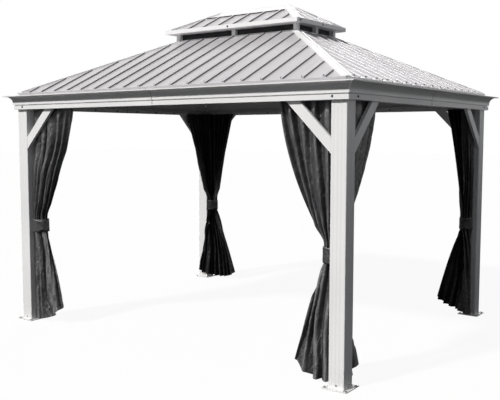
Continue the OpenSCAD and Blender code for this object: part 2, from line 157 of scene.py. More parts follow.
def bands(spot, way, scale, distortion=0.0):
    return spot.node("ShaderNodeTexWave", {"wave_type": "BANDS", "bands_direction": way},
                     {"Vector": spot, "Scale": scale, "Distortion": distortion})


def bump(height, strength, depth, under=None):
    sockets = {"Height": height, "Strength": strength, "Distance": depth}
    if under is not None:
        sockets["Normal"] = under
    return height.node("ShaderNodeBump", None, sockets)


coatLook = {
    "colour": (0.90, 0.90, 0.905), "shade": (0.84, 0.84, 0.85), "roughness": 0.36, "specular": 0.45,
    "drift": {"scale": 2.3, "detail": 4, "low": 0.35, "high": 0.7}, "driftGloss": 0.05,
    "dust": (0.62, 0.60, 0.57), "dustTop": 0.16, "dustShare": 0.55, "dustRough": 0.25,
    "dustPatch": {"scale": 9, "detail": 5, "low": 0.3, "high": 0.7},
    "speck": {"scale": 34, "detail": 5, "rough": 0.65, "low": 0.55, "high": 0.85},
    "speckShare": 0.08, "speckRough": 0.1,
    "seam": (0.10, 0.10, 0.10), "seamHalf": 0.0035,
    "peel": {"scale": 620, "detail": 2}, "peelBump": {"strength": 0.12, "depth": 0.0004},
}


def powderCoat(name, look, splice=None):  # satin coat: peel, tone drift, dust at the feet, a dirty splice
    material, wire, shader = newMaterial(name)
    spot = place(wire)
    drift = mottle(spot, **look["drift"])
    speck = mottle(spot, **look["speck"])
    foot = spread(axisOf(spot, 2), look["dustTop"], 0.0) * mottle(spot, **look["dustPatch"])
    tone = mixColours(drift, look["shade"], look["colour"])
    tone = mixColours(look["dustShare"] * foot, tone, look["dust"])
    if splice is not None:
        fromSplice = wire.maths("ABSOLUTE", axisOf(spot, splice), 0)
        tone = mixColours(spread(fromSplice, look["seamHalf"], look["seamHalf"] / 2), tone, look["seam"])
    rough = look["roughness"] + look["speckRough"] * speck + look["dustRough"] * foot
    feed(shader, {
        "Base Color": mixColours(look["speckShare"] * speck, tone, look["dust"]),
        "Roughness": rough - look["driftGloss"] * drift,
        "Normal": bump(grain(spot, **look["peel"]), **look["peelBump"]),
        "Specular IOR Level": look["specular"],
    })
    return material


sheetLook = {
    "colour": (0.51, 0.495, 0.515), "pale": (0.58, 0.565, 0.585),
    "roughness": 0.27, "specular": 0.75, "coat": 0.1,
    "patch": {"scale": 1.6, "detail": 3, "low": 0.3, "high": 0.7}, "patchRough": 0.03,
    "streak": (0.40, 0.39, 0.405), "streakShare": 0.32, "streakRough": 0.05,
    "streaks": {"scale": 1.0, "detail": 2, "low": 0.48, "high": 0.78}, "streakAcross": 26, "streakAlong": 1.1,
    # the dark colour beside the ribs is painted shade for the ribs' shaded flanks and cast shadows
    "ribShadeColour": (0.13, 0.125, 0.13), "ribShadeShare": 0.85, "ribHalf": 0.009,
    "ribShadeInner": (-0.002, -0.0005), "ribShadeOuter": (0.005, 0.001), "upperShift": 0.057,
    "pan": {"scale": 3.2, "detail": 1}, "panBump": {"strength": 0.05, "depth": 0.003},
}


def roofSheet(name, look, downhill, shift=0.0):  # oil canning, rain streaks, and a painted shade line along both sides of each rib
    material, wire, shader = newMaterial(name)
    spot = place(wire)
    scales = [look["streakAcross"], look["streakAcross"], look["streakAlong"]]
    scales[downhill] = look["streakAlong"]
    fromRib = wire.maths("PINGPONG", axisOf(spot, 1 - downhill) - shift, roofSet["ribPitch"] / 2)
    inner, outer = ([look["ribHalf"] + reach for reach in look[edge]]
                    for edge in ("ribShadeInner", "ribShadeOuter"))
    # mask of a thin band along both sides of each rib, where painted shade darkens the sheet
    ribShadeMask = spread(fromRib, *inner) * spread(fromRib, *outer)
    streaks = mottle(place(wire, scales), **look["streaks"])
    patches = mottle(spot, **look["patch"])
    tone = mixColours(patches, look["colour"], look["pale"])
    tone = mixColours(look["streakShare"] * streaks, tone, look["streak"])
    feed(shader, {
        "Base Color": mixColours(look["ribShadeShare"] * ribShadeMask, tone, look["ribShadeColour"]),
        "Roughness": look["roughness"] + look["streakRough"] * streaks + look["patchRough"] * patches,
        "Normal": bump(grain(spot, **look["pan"]), **look["panBump"]),
        "Specular IOR Level": look["specular"],
        "Coat Weight": look["coat"],
    })
    return material


clothLook = {
    # the palest colour is a painted highlight for the fold crests
    "colour": (0.016, 0.016, 0.018), "worn": (0.044, 0.044, 0.047), "paintedCrestLight": (0.17, 0.17, 0.175),
    "roughness": 0.36, "slubRough": 0.12, "gloss": 1.0, "sheen": 0.2, "sheenRough": 0.45,
    "sheenTint": (0.8, 0.82, 0.88, 1),
    "threads": {"scale": 45, "distortion": 0.4}, "threadBump": {"strength": 0.25, "depth": 0.0005},
    "threadShare": 0.15,
    "slub": {"scale": 2.0, "detail": 4.0}, "slubStretch": (60, 4, 1),
    "slubRange": (0.35, 0.75), "slubShare": 0.7,
    "crumple": {"scale": 1.5, "detail": 5.0, "rough": 0.6}, "crumpleStretch": (10, 6, 1),
    "crumpleBump": {"strength": 1.0, "depth": 0.022},
    "rumple": {"scale": 1.5, "detail": 4.0, "rough": 0.55}, "rumpleStretch": (34, 24, 1),
    "rumpleBump": {"strength": 0.4, "depth": 0.004},
}


def curtainCloth(name, look):  # woven polyester: threads follow the cloth's own width and length
    material, wire, shader = newMaterial(name)
    flat = wire.node("ShaderNodeUVMap", {"uv_map": "cloth"})
    slub, crumple, rumple = (grain(stretch(flat, look[kind + "Stretch"]), **look[kind])
                             for kind in ("slub", "crumple", "rumple"))
    weave = bands(flat, "X", **look["threads"]) * bands(flat, "Y", **look["threads"])
    creased = bump(wire.maths("ABSOLUTE", crumple - 0.5, 0), **look["crumpleBump"])
    soft = bump(rumple, **look["rumpleBump"], under=creased)
    crest = wire.node("ShaderNodeAttribute", {"attribute_name": "crest"}, None, "Fac")
    wear = spread(slub, *look["slubRange"]) * look["slubShare"] + look["threadShare"] * weave
    dyed = mixColours(wear, look["colour"], look["worn"])
    # the crest attribute mixes in a pale colour: a painted highlight on the fold crests
    feed(shader, {
        "Base Color": mixColours(crest, dyed, look["paintedCrestLight"]),
        "Roughness": look["roughness"] + look["slubRough"] * slub,
        "Normal": bump(weave, **look["threadBump"], under=soft),
        "Sheen Weight": look["sheen"],
        "Sheen Roughness": look["sheenRough"],
        "Sheen Tint": look["sheenTint"],
        "Specular IOR Level": look["gloss"],
    })
    return material


railLook = {
    "colour": (0.62, 0.62, 0.64), "dull": (0.48, 0.48, 0.50),
    "metal": 0.85, "roughness": 0.34, "stainRough": 0.14,
    "lines": {"scale": 1.0, "detail": 3, "low": 0.35, "high": 0.65}, "lineStretch": (3, 3, 700),
    "lineBump": {"strength": 0.15, "depth": 0.0003}, "stain": {"scale": 14, "detail": 3},
}


def drawnAluminium(name, look):  # mill finish with die lines
    material, wire, shader = newMaterial(name)
    lines = mottle(place(wire, look["lineStretch"]), **look["lines"])
    feed(shader, {
        "Base Color": mixColours(lines, look["dull"], look["colour"]),
        "Metallic": look["metal"],
        "Roughness": look["roughness"] + look["stainRough"] * grain(place(wire), **look["stain"]),
        "Normal": bump(lines, **look["lineBump"]),
    })
    return material


boltLook = {
    "colour": (0.66, 0.66, 0.67), "dull": (0.40, 0.39, 0.38),
    "metal": 0.8, "roughness": 0.32, "cloudRough": 0.2,
    "cloud": {"scale": 120, "detail": 4, "low": 0.35, "high": 0.7},
    "pit": {"scale": 900, "detail": 2}, "pitBump": {"strength": 0.1, "depth": 0.0002},
}


def zincPlate(name, look):  # bright zinc with a cloudy passivated skin
    material, wire, shader = newMaterial(name)
    spot = place(wire)
    cloud = mottle(spot, **look["cloud"])
    feed(shader, {
        "Base Color": mixColours(cloud, look["dull"], look["colour"]),
        "Metallic": look["metal"],
        "Roughness": look["roughness"] + look["cloudRough"] * cloud,
        "Normal": bump(grain(spot, **look["pit"]), **look["pitBump"]),
    })
    return material


shadeBandLook = {
    "thread": (0.060, 0.060, 0.062), "hole": (0.010, 0.010, 0.010), "count": 60, "clean": 0.3, "dusty": 0.7,
    "dust": {"scale": 14, "detail": 4, "low": 0.35, "high": 0.75}, "roughness": 0.62, "dustRough": 0.2,
    "threadBump": {"strength": 0.4, "depth": 0.0006},
}


def paintedShadeBand(name, look):  # threads both ways over near-black holes, with uneven dust; the near-black is painted shade for a shaded gap
    material, wire, shader = newMaterial(name)
    spot = place(wire)
    threads = 0.5 * bands(spot, "DIAGONAL", look["count"]) + 0.5 * bands(spot, "Z", look["count"])
    dust = mottle(spot, **look["dust"])
    lit = threads * (look["clean"] + look["dusty"] * dust)
    feed(shader, {
        "Base Color": mixColours(lit, look["hole"], look["thread"]),
        "Roughness": look["roughness"] + look["dustRough"] * dust,
        "Normal": bump(threads, **look["threadBump"]),
    })
    return material


whiteCoat = powderCoat("white_powder_coat", coatLook)
beamCoat = {"long": powderCoat("long_beam_coat", coatLook, 0),
            "short": powderCoat("short_beam_coat", coatLook, 1)}
innerCoat = powderCoat("inner_powder_coat", dict(coatLook, colour=(0.80, 0.80, 0.81), roughness=0.42))
# the side slopes get a lighter copy of the sheet colour, painted light for their bright sheen at a grazing
# view, and a weaker painted shade beside the ribs
sideLook = dict(sheetLook, ribShadeShare=0.1, colour=(0.575, 0.56, 0.58), pale=(0.65, 0.635, 0.655))
sheetFront = roofSheet("roof_sheet_front_back", sheetLook, 1)
sheetSide = roofSheet("roof_sheet_sides_painted_light", sideLook, 0)
sheetUpper = {side: roofSheet("roof_sheet_upper_" + side, sheetLook, 1, sign * sheetLook["upperShift"])
              for side, sign in (("front", 1), ("back", -1))}
# the eave trim gets a greyer copy of the white coat: painted shade for its face under the panel's edge
trimLook = dict(coatLook, colour=(0.76, 0.75, 0.765), shade=(0.70, 0.69, 0.705))
trimSheet = powderCoat("eave_trim_coat_painted_shade", trimLook)
cloth = curtainCloth("charcoal_curtain", clothLook)
# a darker, less glossy copy of the cloth for the back pair: painted shade
shadePaintedLook = dict(clothLook, colour=(0.008, 0.008, 0.009), worn=(0.018, 0.018, 0.020), gloss=0.35, sheen=0.05)
shadePaintedCloth = curtainCloth("charcoal_curtain_painted_shade", shadePaintedLook)
rail = drawnAluminium("drawn_rail", railLook)
zinc = zincPlate("zinc_fastener", boltLook)
# near-black finish for the vent band and the ridge strips: painted shade
shadeBandFinish = paintedShadeBand("vent_band_painted_shade", shadeBandLook)
darkZinc = zincPlate("dark_fastener", dict(boltLook, colour=(0.12, 0.12, 0.125), dull=(0.05, 0.05, 0.05)))


def materialFor(name):
    if name == "lower_eave_trims":
        return trimSheet
    if "_roof_" in name:
        if name.endswith(("left", "right")):
            return sheetSide
        return sheetUpper[name.split("_")[-1]] if name.startswith("upper") else sheetFront
    if name.endswith("_beam"):
        return beamCoat["long" if name.startswith(("front", "back")) else "short"]
    if name == "curtain_tracks":
        return rail
    if name in ("hip_rafters", "mid_rafters", "corner_brackets"):
        return innerCoat
    return whiteCoat


replacedNodes = ("curtain_front", "curtain_back", "curtain_ties")
for name, obj in nodes.items():
    if not name.startswith(replacedNodes):
        obj.data.materials.clear()
        obj.data.materials.append(materialFor(name))
print("finishes set")


def mix(a, b, share):
    return a + (b - a) * share


def smoothStep(value, low, high):
    share = min(1, max(0, (value - low) / (high - low)))
    return share * share * (3 - 2 * share)


def waver(*spot):
    return noise.noise(Vector(spot))


def addMesh(name, vertices, faces, material):
    mesh = bpy.data.meshes.new(name)
    mesh.from_pydata([tuple(v) for v in vertices], [], faces)
    mesh.materials.append(material)
    mesh.update()
    obj = bpy.data.objects.new(name, mesh)
    scene.collection.objects.link(obj)
    return obj


def gridFaces(rows, columns, closed=False):
    faces = []
    for r in range(rows - 1):
        for c in range(columns if closed else columns - 1):
            d = (c + 1) % columns
            faces.append((r * columns + c, r * columns + d, (r + 1) * columns + d, (r + 1) * columns + c))
    return faces


def smooth(obj):
    for face in obj.data.polygons:
        face.use_smooth = True


# curtains: one sheet at each corner, hung from the rail, gathered by a strap and flared to the hem

curtainSet = {
    "columns": 252, "rows": 44, "strapRows": 4, "hooks": 12, "flatWidth": 1.15, "flatLength": 1.945,
    "hookDrop": 0.018, "hookFromPost": 0.03, "strapHeight": 0.120, "strapMiddle": 0.890, "strapRoom": 0.001,
    "railLine": -0.062, "topNear": 0.018, "lowNear": 0.014, "postRoom": 0.008,
    "settleFrom": 1.62, "settleTo": 1.36,
    "rollFrom": math.radians(-135), "rollTurn": math.radians(330), "gatherFrom": 0.86, "flareBow": 0.75,
    "leastDropSquared": 0.01, "roundings": 4, "roundingShare": 0.25,
}
foldSet = {  # depths outwards and inwards, then how the folds wander
    "packed": 0.0215, "outRail": 0.010, "outFree": 0.024, "outSettled": 0.021, "outHem": 0.022,
    "inRail": 0.026, "inFree": 0.034, "inHem": 0.042,
    "freeAbove": 0.004, "freeBelow": 0.05, "edgeShare": 0.025,
    "rowStep": 0.10, "drapeSeed": 40, "sharp": 1.5,
    "sway": 3.4, "swayAt": (5, 0, 0.35), "second": 0.14, "secondSway": 4, "secondAt": (3, 9, 0.3),
    "depth": 0.85, "depthSway": 0.6, "depthAt": (7, 5, 0.25),
    "crease": 0.007, "creaseAt": (30, 0.14),
    "fine": 0.004, "fineAt": (52, 0.38), "fineSlant": 0.35, "fineSeed": 2,
    "tightShare": 0.3, "tightRows": 3, "looseRows": 16,
    # streaks and strength of the painted highlight on the fold crests
    "streakAt": (24, 0.16), "streakSeed": 60, "crestLightAbove": 0.85, "crestLightBelow": 2.0, "crestShare": 0.35,
}
curtainSpans = {  # metres from the post's inner corner: along the long side, along the short side
    # each corner also sets the strength of its painted highlight on the fold crests
    "front_left": {
        "top": (0.564, 0.330), "foot": (0.388, 0.200), "line": (-0.088, -0.062), "waist": (0.080, -0.046),
        "girth": 0.0700, "bow": 1.35, "pinch": 0.04, "pleats": 9, "drapes": 5, "crestLightShare": 0.5, "seed": 3},
    "front_right": {
        "top": (0.440, 0.396), "foot": (0.304, 0.170), "line": (-0.068, -0.066), "waist": (0.074, 0.036),
        "girth": 0.0560, "bow": 1.7, "pinch": 0.06, "pleats": 9, "drapes": 6, "crestLightShare": 1.0, "seed": 11},
    "back_left": {
        "top": (0.352, 0.286), "foot": (0.380, 0.050), "line": (-0.062, -0.076), "waist": (0.104, 0.026),
        "girth": 0.0638, "bow": 1.0, "pinch": 0.12, "pleats": 12, "drapes": 8, "crestLightShare": 0.1, "seed": 23},
    "back_right": {
        "top": (0.228, 0.330), "foot": (0.280, 0.165), "line": (-0.062, -0.086), "waist": (-0.036, 0.064),
        "girth": 0.0582, "bow": 0.75, "pinch": 0.02, "pleats": 12, "drapes": 8, "crestLightShare": 0.1, "seed": 31},
}


def evenSteps(points, count):  # rounds the turns of a path, then walks it in equal steps
    path = [Vector(p) for p in points]
    cut = curtainSet["roundingShare"]
    for _ in range(curtainSet["roundings"]):
        rounder = [path[0]]
        for p, q in zip(path, path[1:]):
            rounder += [p.lerp(q, cut), p.lerp(q, 1 - cut)]
        path = rounder + [path[-1]]
    reach = [0.0]
    for p, q in zip(path, path[1:]):
        reach.append(reach[-1] + (q - p).length)
    tiny = 1e-9
    walked, k = [], 0
    for i in range(count):
        goal = reach[-1] * i / (count - 1)
        while k < len(path) - 2 and reach[k + 1] < goal:
            k += 1
        walked.append(path[k].lerp(path[k + 1], (goal - reach[k]) / max(reach[k + 1] - reach[k], tiny)))
    return walked


def legPath(span, lines, near, count):  # along one side, round the post's inner corner, along the other side
    turns = [(span[0], lines[0]), (near, lines[0]), (near, near), (lines[1], near), (lines[1], span[1])]
    return evenSteps(turns, count)


def bundlePath(waist, radius, count):  # the same cloth rolled up, open towards the middle of the plan
    path = []
    for i in range(count):
        angle = curtainSet["rollFrom"] + (0.5 - i / (count - 1)) * curtainSet["rollTurn"]
        path.append(Vector((waist[0] + radius * math.cos(angle), waist[1] + radius * math.sin(angle))))
    return path


def foldWave(share, pleats, seed, row):  # uneven folds: crests wander, some are deep and some shallow
    f = foldSet
    sway, second, depth = (waver(share * along, seed + shift, row * down)
                           for along, shift, down in (f["swayAt"], f["secondAt"], f["depthAt"]))
    phase = 2 * math.pi * pleats * share + f["sway"] * sway
    ripple = f["second"] * math.sin(2 * phase + f["secondSway"] * second)
    wave = 0.5 + (f["depth"] + f["depthSway"] * depth) * (0.5 * math.sin(phase) + ripple)
    return min(1, max(0, wave)) ** f["sharp"]


def cornerPlace(corner):
    low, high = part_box("post_" + corner)
    signX, signY = cornerSigns[corner]
    inner = ((low if signX > 0 else high)[0], (low if signY > 0 else high)[1])
    return lambda a, b, z: Vector((inner[0] - signX * a, inner[1] - signY * b, z))


def sideNormals(path):
    last = len(path) - 1
    sides = []
    for i in range(len(path)):
        way = path[min(i + 1, last)] - path[max(i - 1, 0)]
        sides.append(Vector((way.y, -way.x)).normalized())
    return sides


def clearOfPost(spot, room):  # slides a point off the post, square to its inner corner
    shift = max(0, room - max(spot))
    return spot + Vector((shift, shift))


def clothFor(corner):  # the back pair gets a darker, less glossy copy of the cloth: painted shade
    return cloth if corner.startswith("front") else shadePaintedCloth


def clothRows(span, topZ):  # each row: path in plan, fold depths, heights, and how far it is below the strap
    c, f = curtainSet, foldSet
    count, packed = c["columns"] + 1, f["packed"]
    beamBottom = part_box("front_beam")[0][2]
    tieTop = c["strapMiddle"] + c["strapHeight"] / 2
    tieFoot = c["strapMiddle"] - c["strapHeight"] / 2
    top = legPath(span["top"], (c["railLine"], c["railLine"]), c["topNear"], count)
    hung = legPath(span["top"], span["line"], c["lowNear"], count)
    waist = bundlePath(span["waist"], span["girth"] - packed - c["strapRoom"], count)
    foot = legPath(span["foot"], span["line"], c["lowNear"], count)
    rows = []
    for r in range(c["rows"] + 1):  # above the strap
        share = r / c["rows"]
        z = mix(topZ, tieTop, share)
        pull = mix((1 - span["pinch"]) * share ** span["bow"], 1, smoothStep(share, c["gatherFrom"], 1))
        settle = smoothStep(z, c["settleFrom"], c["settleTo"])
        path = [p.lerp(h, settle).lerp(q, pull) for p, h, q in zip(top, hung, waist)]
        free = smoothStep(z, beamBottom + f["freeAbove"], beamBottom - f["freeBelow"])
        out = mix(mix(mix(f["outRail"], f["outFree"], free), f["outSettled"], settle), packed, pull)
        inn = mix(mix(f["inRail"], f["inFree"], free), packed, pull)
        rows.append((path, out, inn, [z] * count, 0))
    hang = [sum(math.hypot((low[0][i] - high[0][i]).length, low[3][i] - high[3][i])
                for high, low in zip(rows, rows[1:])) for i in range(count)]
    for r in range(1, c["strapRows"]):  # inside the strap
        share = r / c["strapRows"]
        rows.append((waist, packed, packed, [mix(tieTop, tieFoot, share)] * count, share))
    left = [c["flatLength"] - h - c["strapHeight"] for h in hang]
    drop = [math.sqrt(max(c["leastDropSquared"], s * s - (q - p).length ** 2))
            for s, p, q in zip(left, waist, foot)]
    for r in range(c["rows"] + 1):  # below the strap
        share = r / c["rows"]
        flare = share ** c["flareBow"]
        path = [p.lerp(q, flare) for p, q in zip(waist, foot)]
        heights = [tieFoot - d * share for d in drop]
        rows.append((path, mix(packed, f["outHem"], flare), mix(packed, f["inHem"], flare), heights, 1))
    return rows, top


def clothPoints(rows, span, put):
    c, f = curtainSet, foldSet
    seed = span["seed"]
    strapRow = c["rows"] + c["strapRows"] / 2
    vertices, crests = [], []
    for r, (path, out, inn, heights, below) in enumerate(rows):
        step = f["rowStep"] * r
        loose = mix(f["tightShare"], 1, smoothStep(abs(r - strapRow), f["tightRows"], f["looseRows"]))
        for i, (p, n, z) in enumerate(zip(path, sideNormals(path), heights)):
            u = i / c["columns"]
            wave = mix(foldWave(u, span["pleats"], seed, step),
                       foldWave(u, span["drapes"], seed + f["drapeSeed"], step), below)
            crease = f["crease"] * waver(u * f["creaseAt"][0], r * f["creaseAt"][1], seed)
            crease += f["fine"] * waver(u * f["fineAt"][0] + r * f["fineSlant"], r * f["fineAt"][1],
                                        seed + f["fineSeed"])
            fold = min(inn, max(-out, mix(-out, inn, wave) + loose * crease))
            spot = clearOfPost(p + n * fold * smoothStep(min(u, 1 - u), 0, f["edgeShare"]), c["postRoom"])
            vertices.append(put(spot.x, spot.y, z))
            # painted highlight: a pale streaked colour on the fold crests, stronger below the strap
            streak = 0.5 + waver(u * f["streakAt"][0], r * f["streakAt"][1], seed + f["streakSeed"])
            crestLight = span["crestLightShare"] * mix(f["crestLightAbove"], f["crestLightBelow"], below) * min(1, max(0, streak))
            crests.append(min(1, crestLight * smoothStep(fold, mix(-out, inn, f["crestShare"]), -out)))
    return vertices, crests


def layUv(obj, rows, columns, width, length):
    layer = obj.data.uv_layers.new(name="cloth")
    for loop in obj.data.loops:
        r, c = divmod(loop.vertex_index, columns)
        layer.data[loop.index].uv = (width * c / (columns - 1), -length * r / (rows - 1))


def hookSpots(top, topZ, put):
    c = curtainSet
    line = c["railLine"]
    hooks = []
    for k in range(c["hooks"]):
        p = top[int((k + 0.5) * c["columns"] / c["hooks"])]
        if max(p) > c["hookFromPost"]:
            spot = (p.x, line) if p.x > p.y else (line, p.y)
            hooks.append(put(*spot, topZ))
    return hooks


def makeCurtain(corner, span):
    c = curtainSet
    put = cornerPlace(corner)
    count = c["columns"] + 1
    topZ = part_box("curtain_tracks")[0][2] - c["hookDrop"]
    rows, top = clothRows(span, topZ)
    vertices, crests = clothPoints(rows, span, put)
    obj = addMesh("curtain_" + corner + "_cloth", vertices, gridFaces(len(rows), count), clothFor(corner))
    # the crest attribute carries the painted highlight's strength
    obj.data.attributes.new("crest", "FLOAT", "POINT").data.foreach_set("value", crests)
    smooth(obj)
    layUv(obj, len(rows), count, c["flatWidth"], c["flatLength"])
    print("curtain", corner, "hem at", round(min(v.z for v in vertices), 4))
    return obj, hookSpots(top, topZ, put)


strapSet = {
    "thick": 0.0024, "rows": 11, "around": 90, "startAngle": -0.9, "heightShare": 0.94, "edgeFlare": 0.0012,
    "rumple": 0.0012, "rumpleAt": (6, 2), "sag": 0.004, "sagSeed": 7,
    "tailTurn": 1.5, "tailColumns": 24, "tailLift": 0.0016, "tailShare": 0.8,
}


def makeStrap(corner, span):  # gathered band with its loose end laid over it
    s, c = strapSet, curtainSet
    put = cornerPlace(corner)
    wide, tall = s["rumpleAt"]
    vertices, faces = [], []
    for turn, columns, lift, share in ((2 * math.pi, s["around"], 0.0, 1.0),
                                       (s["tailTurn"], s["tailColumns"], s["tailLift"], s["tailShare"])):
        whole = lift == 0
        start = len(vertices)
        for r in range(s["rows"]):
            up = r / (s["rows"] - 1) - 0.5
            for k in range(columns):
                angle = turn * k / (columns if whole else columns - 1) + s["startAngle"]
                x, y = math.cos(angle), math.sin(angle)
                rumple = s["rumple"] * waver(x * wide, y * wide, up * tall + span["seed"])
                radius = span["girth"] + s["thick"] / 2 + lift + s["edgeFlare"] * (2 * up) ** 2 + rumple
                sag = s["sag"] * waver(x, y, span["seed"] + s["sagSeed"])
                z = c["strapMiddle"] + share * up * c["strapHeight"] * s["heightShare"] + sag
                vertices.append(put(span["waist"][0] + radius * x, span["waist"][1] + radius * y, z))
        faces += [tuple(start + v for v in f) for f in gridFaces(s["rows"], columns, whole)]
    obj = addMesh("strap_" + corner, vertices, faces, clothFor(corner))
    smooth(obj)
    layer = obj.data.uv_layers.new(name="cloth")
    for loop in obj.data.loops:
        v = obj.data.vertices[loop.vertex_index].co
        layer.data[loop.index].uv = (v.x + v.y, v.z)
    wall = obj.modifiers.new("wall", "SOLIDIFY")
    wall.thickness = s["thick"]
    wall.offset = 0
    return obj


curtains, straps, hookPlaces = {}, {}, {}
for corner, span in curtainSpans.items():
    curtains[corner], hookPlaces[corner] = makeCurtain(corner, span)
    straps[corner] = makeStrap(corner, span)
print("curtains and straps made")


# hooks and fasteners: points carry a facing, and a tree puts one shape on each

shapeSides = {"head": 6, "washer": 16, "eye": 14, "wire": 6, "stem": 8}


def newTree(name, sizes):
    tree = bpy.data.node_groups.new(name, "GeometryNodeTree")
    tree.interface.new_socket(name="Points", in_out="INPUT", socket_type="NodeSocketGeometry")
    for label in sizes:
        tree.interface.new_socket(name=label, in_out="INPUT", socket_type="NodeSocketFloat")
    tree.interface.new_socket(name="Finish", in_out="INPUT", socket_type="NodeSocketMaterial")
    tree.interface.new_socket(name="Mesh", in_out="OUTPUT", socket_type="NodeSocketGeometry")
    return tree


def treeNode(tree, kind, settings=None, sockets=None):
    made = tree.nodes.new(kind)
    for name, value in (settings or {}).items():
        setattr(made, name, value)
    for name, value in (sockets or {}).items():
        if isinstance(value, bpy.types.NodeSocket):
            tree.links.new(value, made.inputs[name])
        else:
            made.inputs[name].default_value = value
    return made


def spreadOnPoints(tree, inputs, shapes):
    joined = tree.nodes.new("GeometryNodeJoinGeometry")
    for shape in shapes:
        tree.links.new(shape, joined.inputs[0])
    facing = treeNode(tree, "GeometryNodeInputNamedAttribute",
                      {"data_type": "FLOAT_VECTOR"}, {"Name": "facing"})
    turn = treeNode(tree, "FunctionNodeAlignRotationToVector", {"axis": "Z"}, {"Vector": facing.outputs[0]})
    copies = treeNode(tree, "GeometryNodeInstanceOnPoints", None, {
        "Points": inputs.outputs["Points"], "Instance": joined.outputs[0], "Rotation": turn.outputs[0]})
    real = treeNode(tree, "GeometryNodeRealizeInstances", None, {"Geometry": copies.outputs[0]})
    finish = treeNode(tree, "GeometryNodeSetMaterial", None, {
        "Geometry": real.outputs[0], "Material": inputs.outputs["Finish"]})
    result = tree.nodes.new("NodeGroupOutput")
    tree.links.new(finish.outputs[0], result.inputs[0])


def liftedCylinder(tree, sides, radius, depth, base):
    body = treeNode(tree, "GeometryNodeMeshCylinder", {"fill_type": "NGON"},
                    {"Vertices": sides, "Radius": radius, "Depth": depth})
    half = treeNode(tree, "ShaderNodeMath", {"operation": "MULTIPLY_ADD"}, {0: depth, 1: 0.5, 2: base})
    shift = treeNode(tree, "ShaderNodeCombineXYZ", None, {"Z": half.outputs[0]})
    return treeNode(tree, "GeometryNodeTransform", None, {
        "Geometry": body.outputs["Mesh"], "Translation": shift.outputs[0]}).outputs[0]


def screwTree():  # washer and six-sided head
    tree = newTree("screw_heads", ["Head radius", "Head height", "Washer radius", "Washer height"])
    inputs = tree.nodes.new("NodeGroupInput")
    head, tall = inputs.outputs["Head radius"], inputs.outputs["Head height"]
    wide, thin = inputs.outputs["Washer radius"], inputs.outputs["Washer height"]
    spreadOnPoints(tree, inputs, [liftedCylinder(tree, shapeSides["head"], head, tall, thin),
                                  liftedCylinder(tree, shapeSides["washer"], wide, thin, 0.0)])
    return tree


def ringTree():  # small round eye on a stem
    tree = newTree("rail_hooks", ["Eye radius", "Wire radius", "Stem height"])
    inputs = tree.nodes.new("NodeGroupInput")
    eyeRadius, wireRadius = inputs.outputs["Eye radius"], inputs.outputs["Wire radius"]
    eye = treeNode(tree, "GeometryNodeCurvePrimitiveCircle", None,
                   {"Resolution": shapeSides["eye"], "Radius": eyeRadius})
    wire = treeNode(tree, "GeometryNodeCurvePrimitiveCircle", None,
                    {"Resolution": shapeSides["wire"], "Radius": wireRadius})
    loop = treeNode(tree, "GeometryNodeCurveToMesh", None,
                    {"Curve": eye.outputs[0], "Profile Curve": wire.outputs[0]})
    upright = treeNode(tree, "GeometryNodeTransform", None,
                       {"Geometry": loop.outputs[0], "Rotation": (math.pi / 2, 0, 0)})
    stem = liftedCylinder(tree, shapeSides["stem"], wireRadius, inputs.outputs["Stem height"], eyeRadius)
    spreadOnPoints(tree, inputs, [upright.outputs[0], stem])
    return tree


def spreadPieces(name, tree, points, facings, sizes, finish):
    holder = addMesh(name + "_points", points, [], finish)
    attribute = holder.data.attributes.new("facing", "FLOAT_VECTOR", "POINT")
    attribute.data.foreach_set("vector", [x for f in facings for x in f])
    maker = holder.modifiers.new("spread", "NODES")
    maker.node_group = tree
    labels = {s.name: s.identifier for s in tree.interface.items_tree if s.in_out == "INPUT"}
    for label, value in sizes.items():
        maker[labels[label]] = value
    maker[labels["Finish"]] = finish
    graph = bpy.context.evaluated_depsgraph_get()
    mesh = bpy.data.meshes.new_from_object(holder.evaluated_get(graph))
    bpy.data.objects.remove(holder)
    mesh.name = name
    obj = bpy.data.objects.new(name, mesh)
    scene.collection.objects.link(obj)
    print(name, len(points), "copies", len(mesh.polygons), "faces")
    return obj


hookSet = {"Eye radius": 0.0055, "Wire radius": 0.0013, "Stem height": 0.013}
hookTree = ringTree()
hookPieces = {}
for corner, spots in hookPlaces.items():
    upward = [(0, 0, 1)] * len(spots)
    hookPieces[corner] = spreadPieces("hooks_" + corner, hookTree, spots, upward, hookSet, zinc)


# screws: beside the ribs near the eave, on the frame, at the posts' feet; bolts on the base plates

screwSet = {"Head radius": 0.0058, "Head height": 0.0045, "Washer radius": 0.0085, "Washer height": 0.0014}
anchorSet = {"Head radius": 0.0095, "Head height": 0.0070, "Washer radius": 0.0130, "Washer height": 0.0022}
ribSet = {"fromEave": 0.034, "beside": 0.024, "long": range(-9, 10), "short": range(-7, 8)}


def turned(spot, turn):
    x, y, z = spot
    for _ in range(turn):
        x, y = -y, x
    return (x, y, z)


def roofScrews():
    spots, ways = [], []
    lean, up = roofSet["slope"], ribSet["fromEave"]
    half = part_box("post_back_right")[1]
    for turn in sideTurns:
        long = turn % 2 == 0
        y = up * math.cos(lean) - half[1 if long else 0]
        z = roofSet["eaveZ"] + up * math.sin(lean)
        for k in ribSet["long" if long else "short"]:
            spots.append(turned((k * roofSet["ribPitch"] - ribSet["beside"], y, z), turn))
            ways.append(turned((0, -math.sin(lean), math.cos(lean)), turn))
    return spots, ways


fixSet = {"fasciaFromEnd": 0.05, "bandUp": 0.022, "bandOut": 0.027, "bandFromCorner": 0.098,
          "rails": 6, "railStep": 0.30, "railDrop": 0.006}


